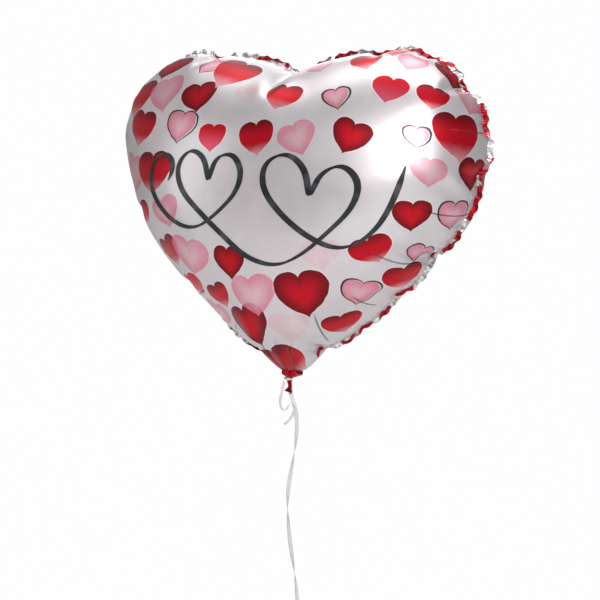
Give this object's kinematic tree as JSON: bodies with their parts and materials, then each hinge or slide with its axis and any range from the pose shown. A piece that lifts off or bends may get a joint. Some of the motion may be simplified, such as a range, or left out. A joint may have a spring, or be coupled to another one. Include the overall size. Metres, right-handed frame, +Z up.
{
  "type": "foil balloon",
  "caption": "Inflated heart-shaped foil balloon: two welded printed films with a pleated edge seam, a tied neck and a curling ribbon hanging down to a knotted hand loop.",
  "frame": {"origin": "middle of the tie at the heart's tip, where the ribbon holds the balloon", "axes": "+Z up through the filled heart, -Y out of the front film, +X along the heart's width"},
  "size_m": [0.388, 0.1652, 0.601],
  "materials": {
    "front_foil": "pearl metallised film printed with red and pink hearts",
    "back_foil": "pearl metallised film printed with red and pink hearts",
    "seam_foil": "welded double film, printed red and silver",
    "neck_foil": "crumpled metallic red film",
    "valve_film": "clear thin film, slightly hazy",
    "ribbon": "pearl white curling ribbon, satin with fine lengthwise ribs"
  },
  "bodies": {
    "balloon": {"front_panel": "front_foil", "back_panel": "back_foil", "edge_seam": "seam_foil", "valve_film_front": "valve_film", "valve_film_back": "valve_film", "throat": "neck_foil", "ribbon_wrap": "ribbon", "ribbon_knot": "ribbon"},
    "tail": {"neck_tail": "neck_foil"},
    "curl": {"curl_tail": "ribbon"},
    "ribbon_upper": {"ribbon_upper": "ribbon"},
    "ribbon_lower": {"ribbon_lower": "ribbon", "hand_knot": "ribbon", "hand_loop": "ribbon"}
  },
  "joints": [
    {"name": "tail_bend", "type": "hinge", "parent": "balloon", "child": "tail", "pos_m": [0, 0, -0.0034], "axis": [0, 1, 0], "range_deg": [-40, 40], "stiffness_Nm_per_rad": 0.0005},
    {"name": "curl_flex", "type": "hinge", "parent": "balloon", "child": "curl", "pos_m": [-0.0028, -0.0054, -0.0036], "axis": [0, 1, 0], "range_deg": [-25, 25], "stiffness_Nm_per_rad": 0.0005},
    {"name": "ribbon_swing", "type": "hinge", "parent": "balloon", "child": "ribbon_upper", "pos_m": [-0.0014, 0.0054, -0.0056], "axis": [0, 1, 0], "range_deg": [-60, 60]},
    {"name": "ribbon_sway", "type": "hinge", "parent": "ribbon_upper", "child": "ribbon_lower", "pos_m": [0.0025, 0.0057, -0.089], "axis": [1, 0, 0], "range_deg": [-60, 60]}
  ]
}
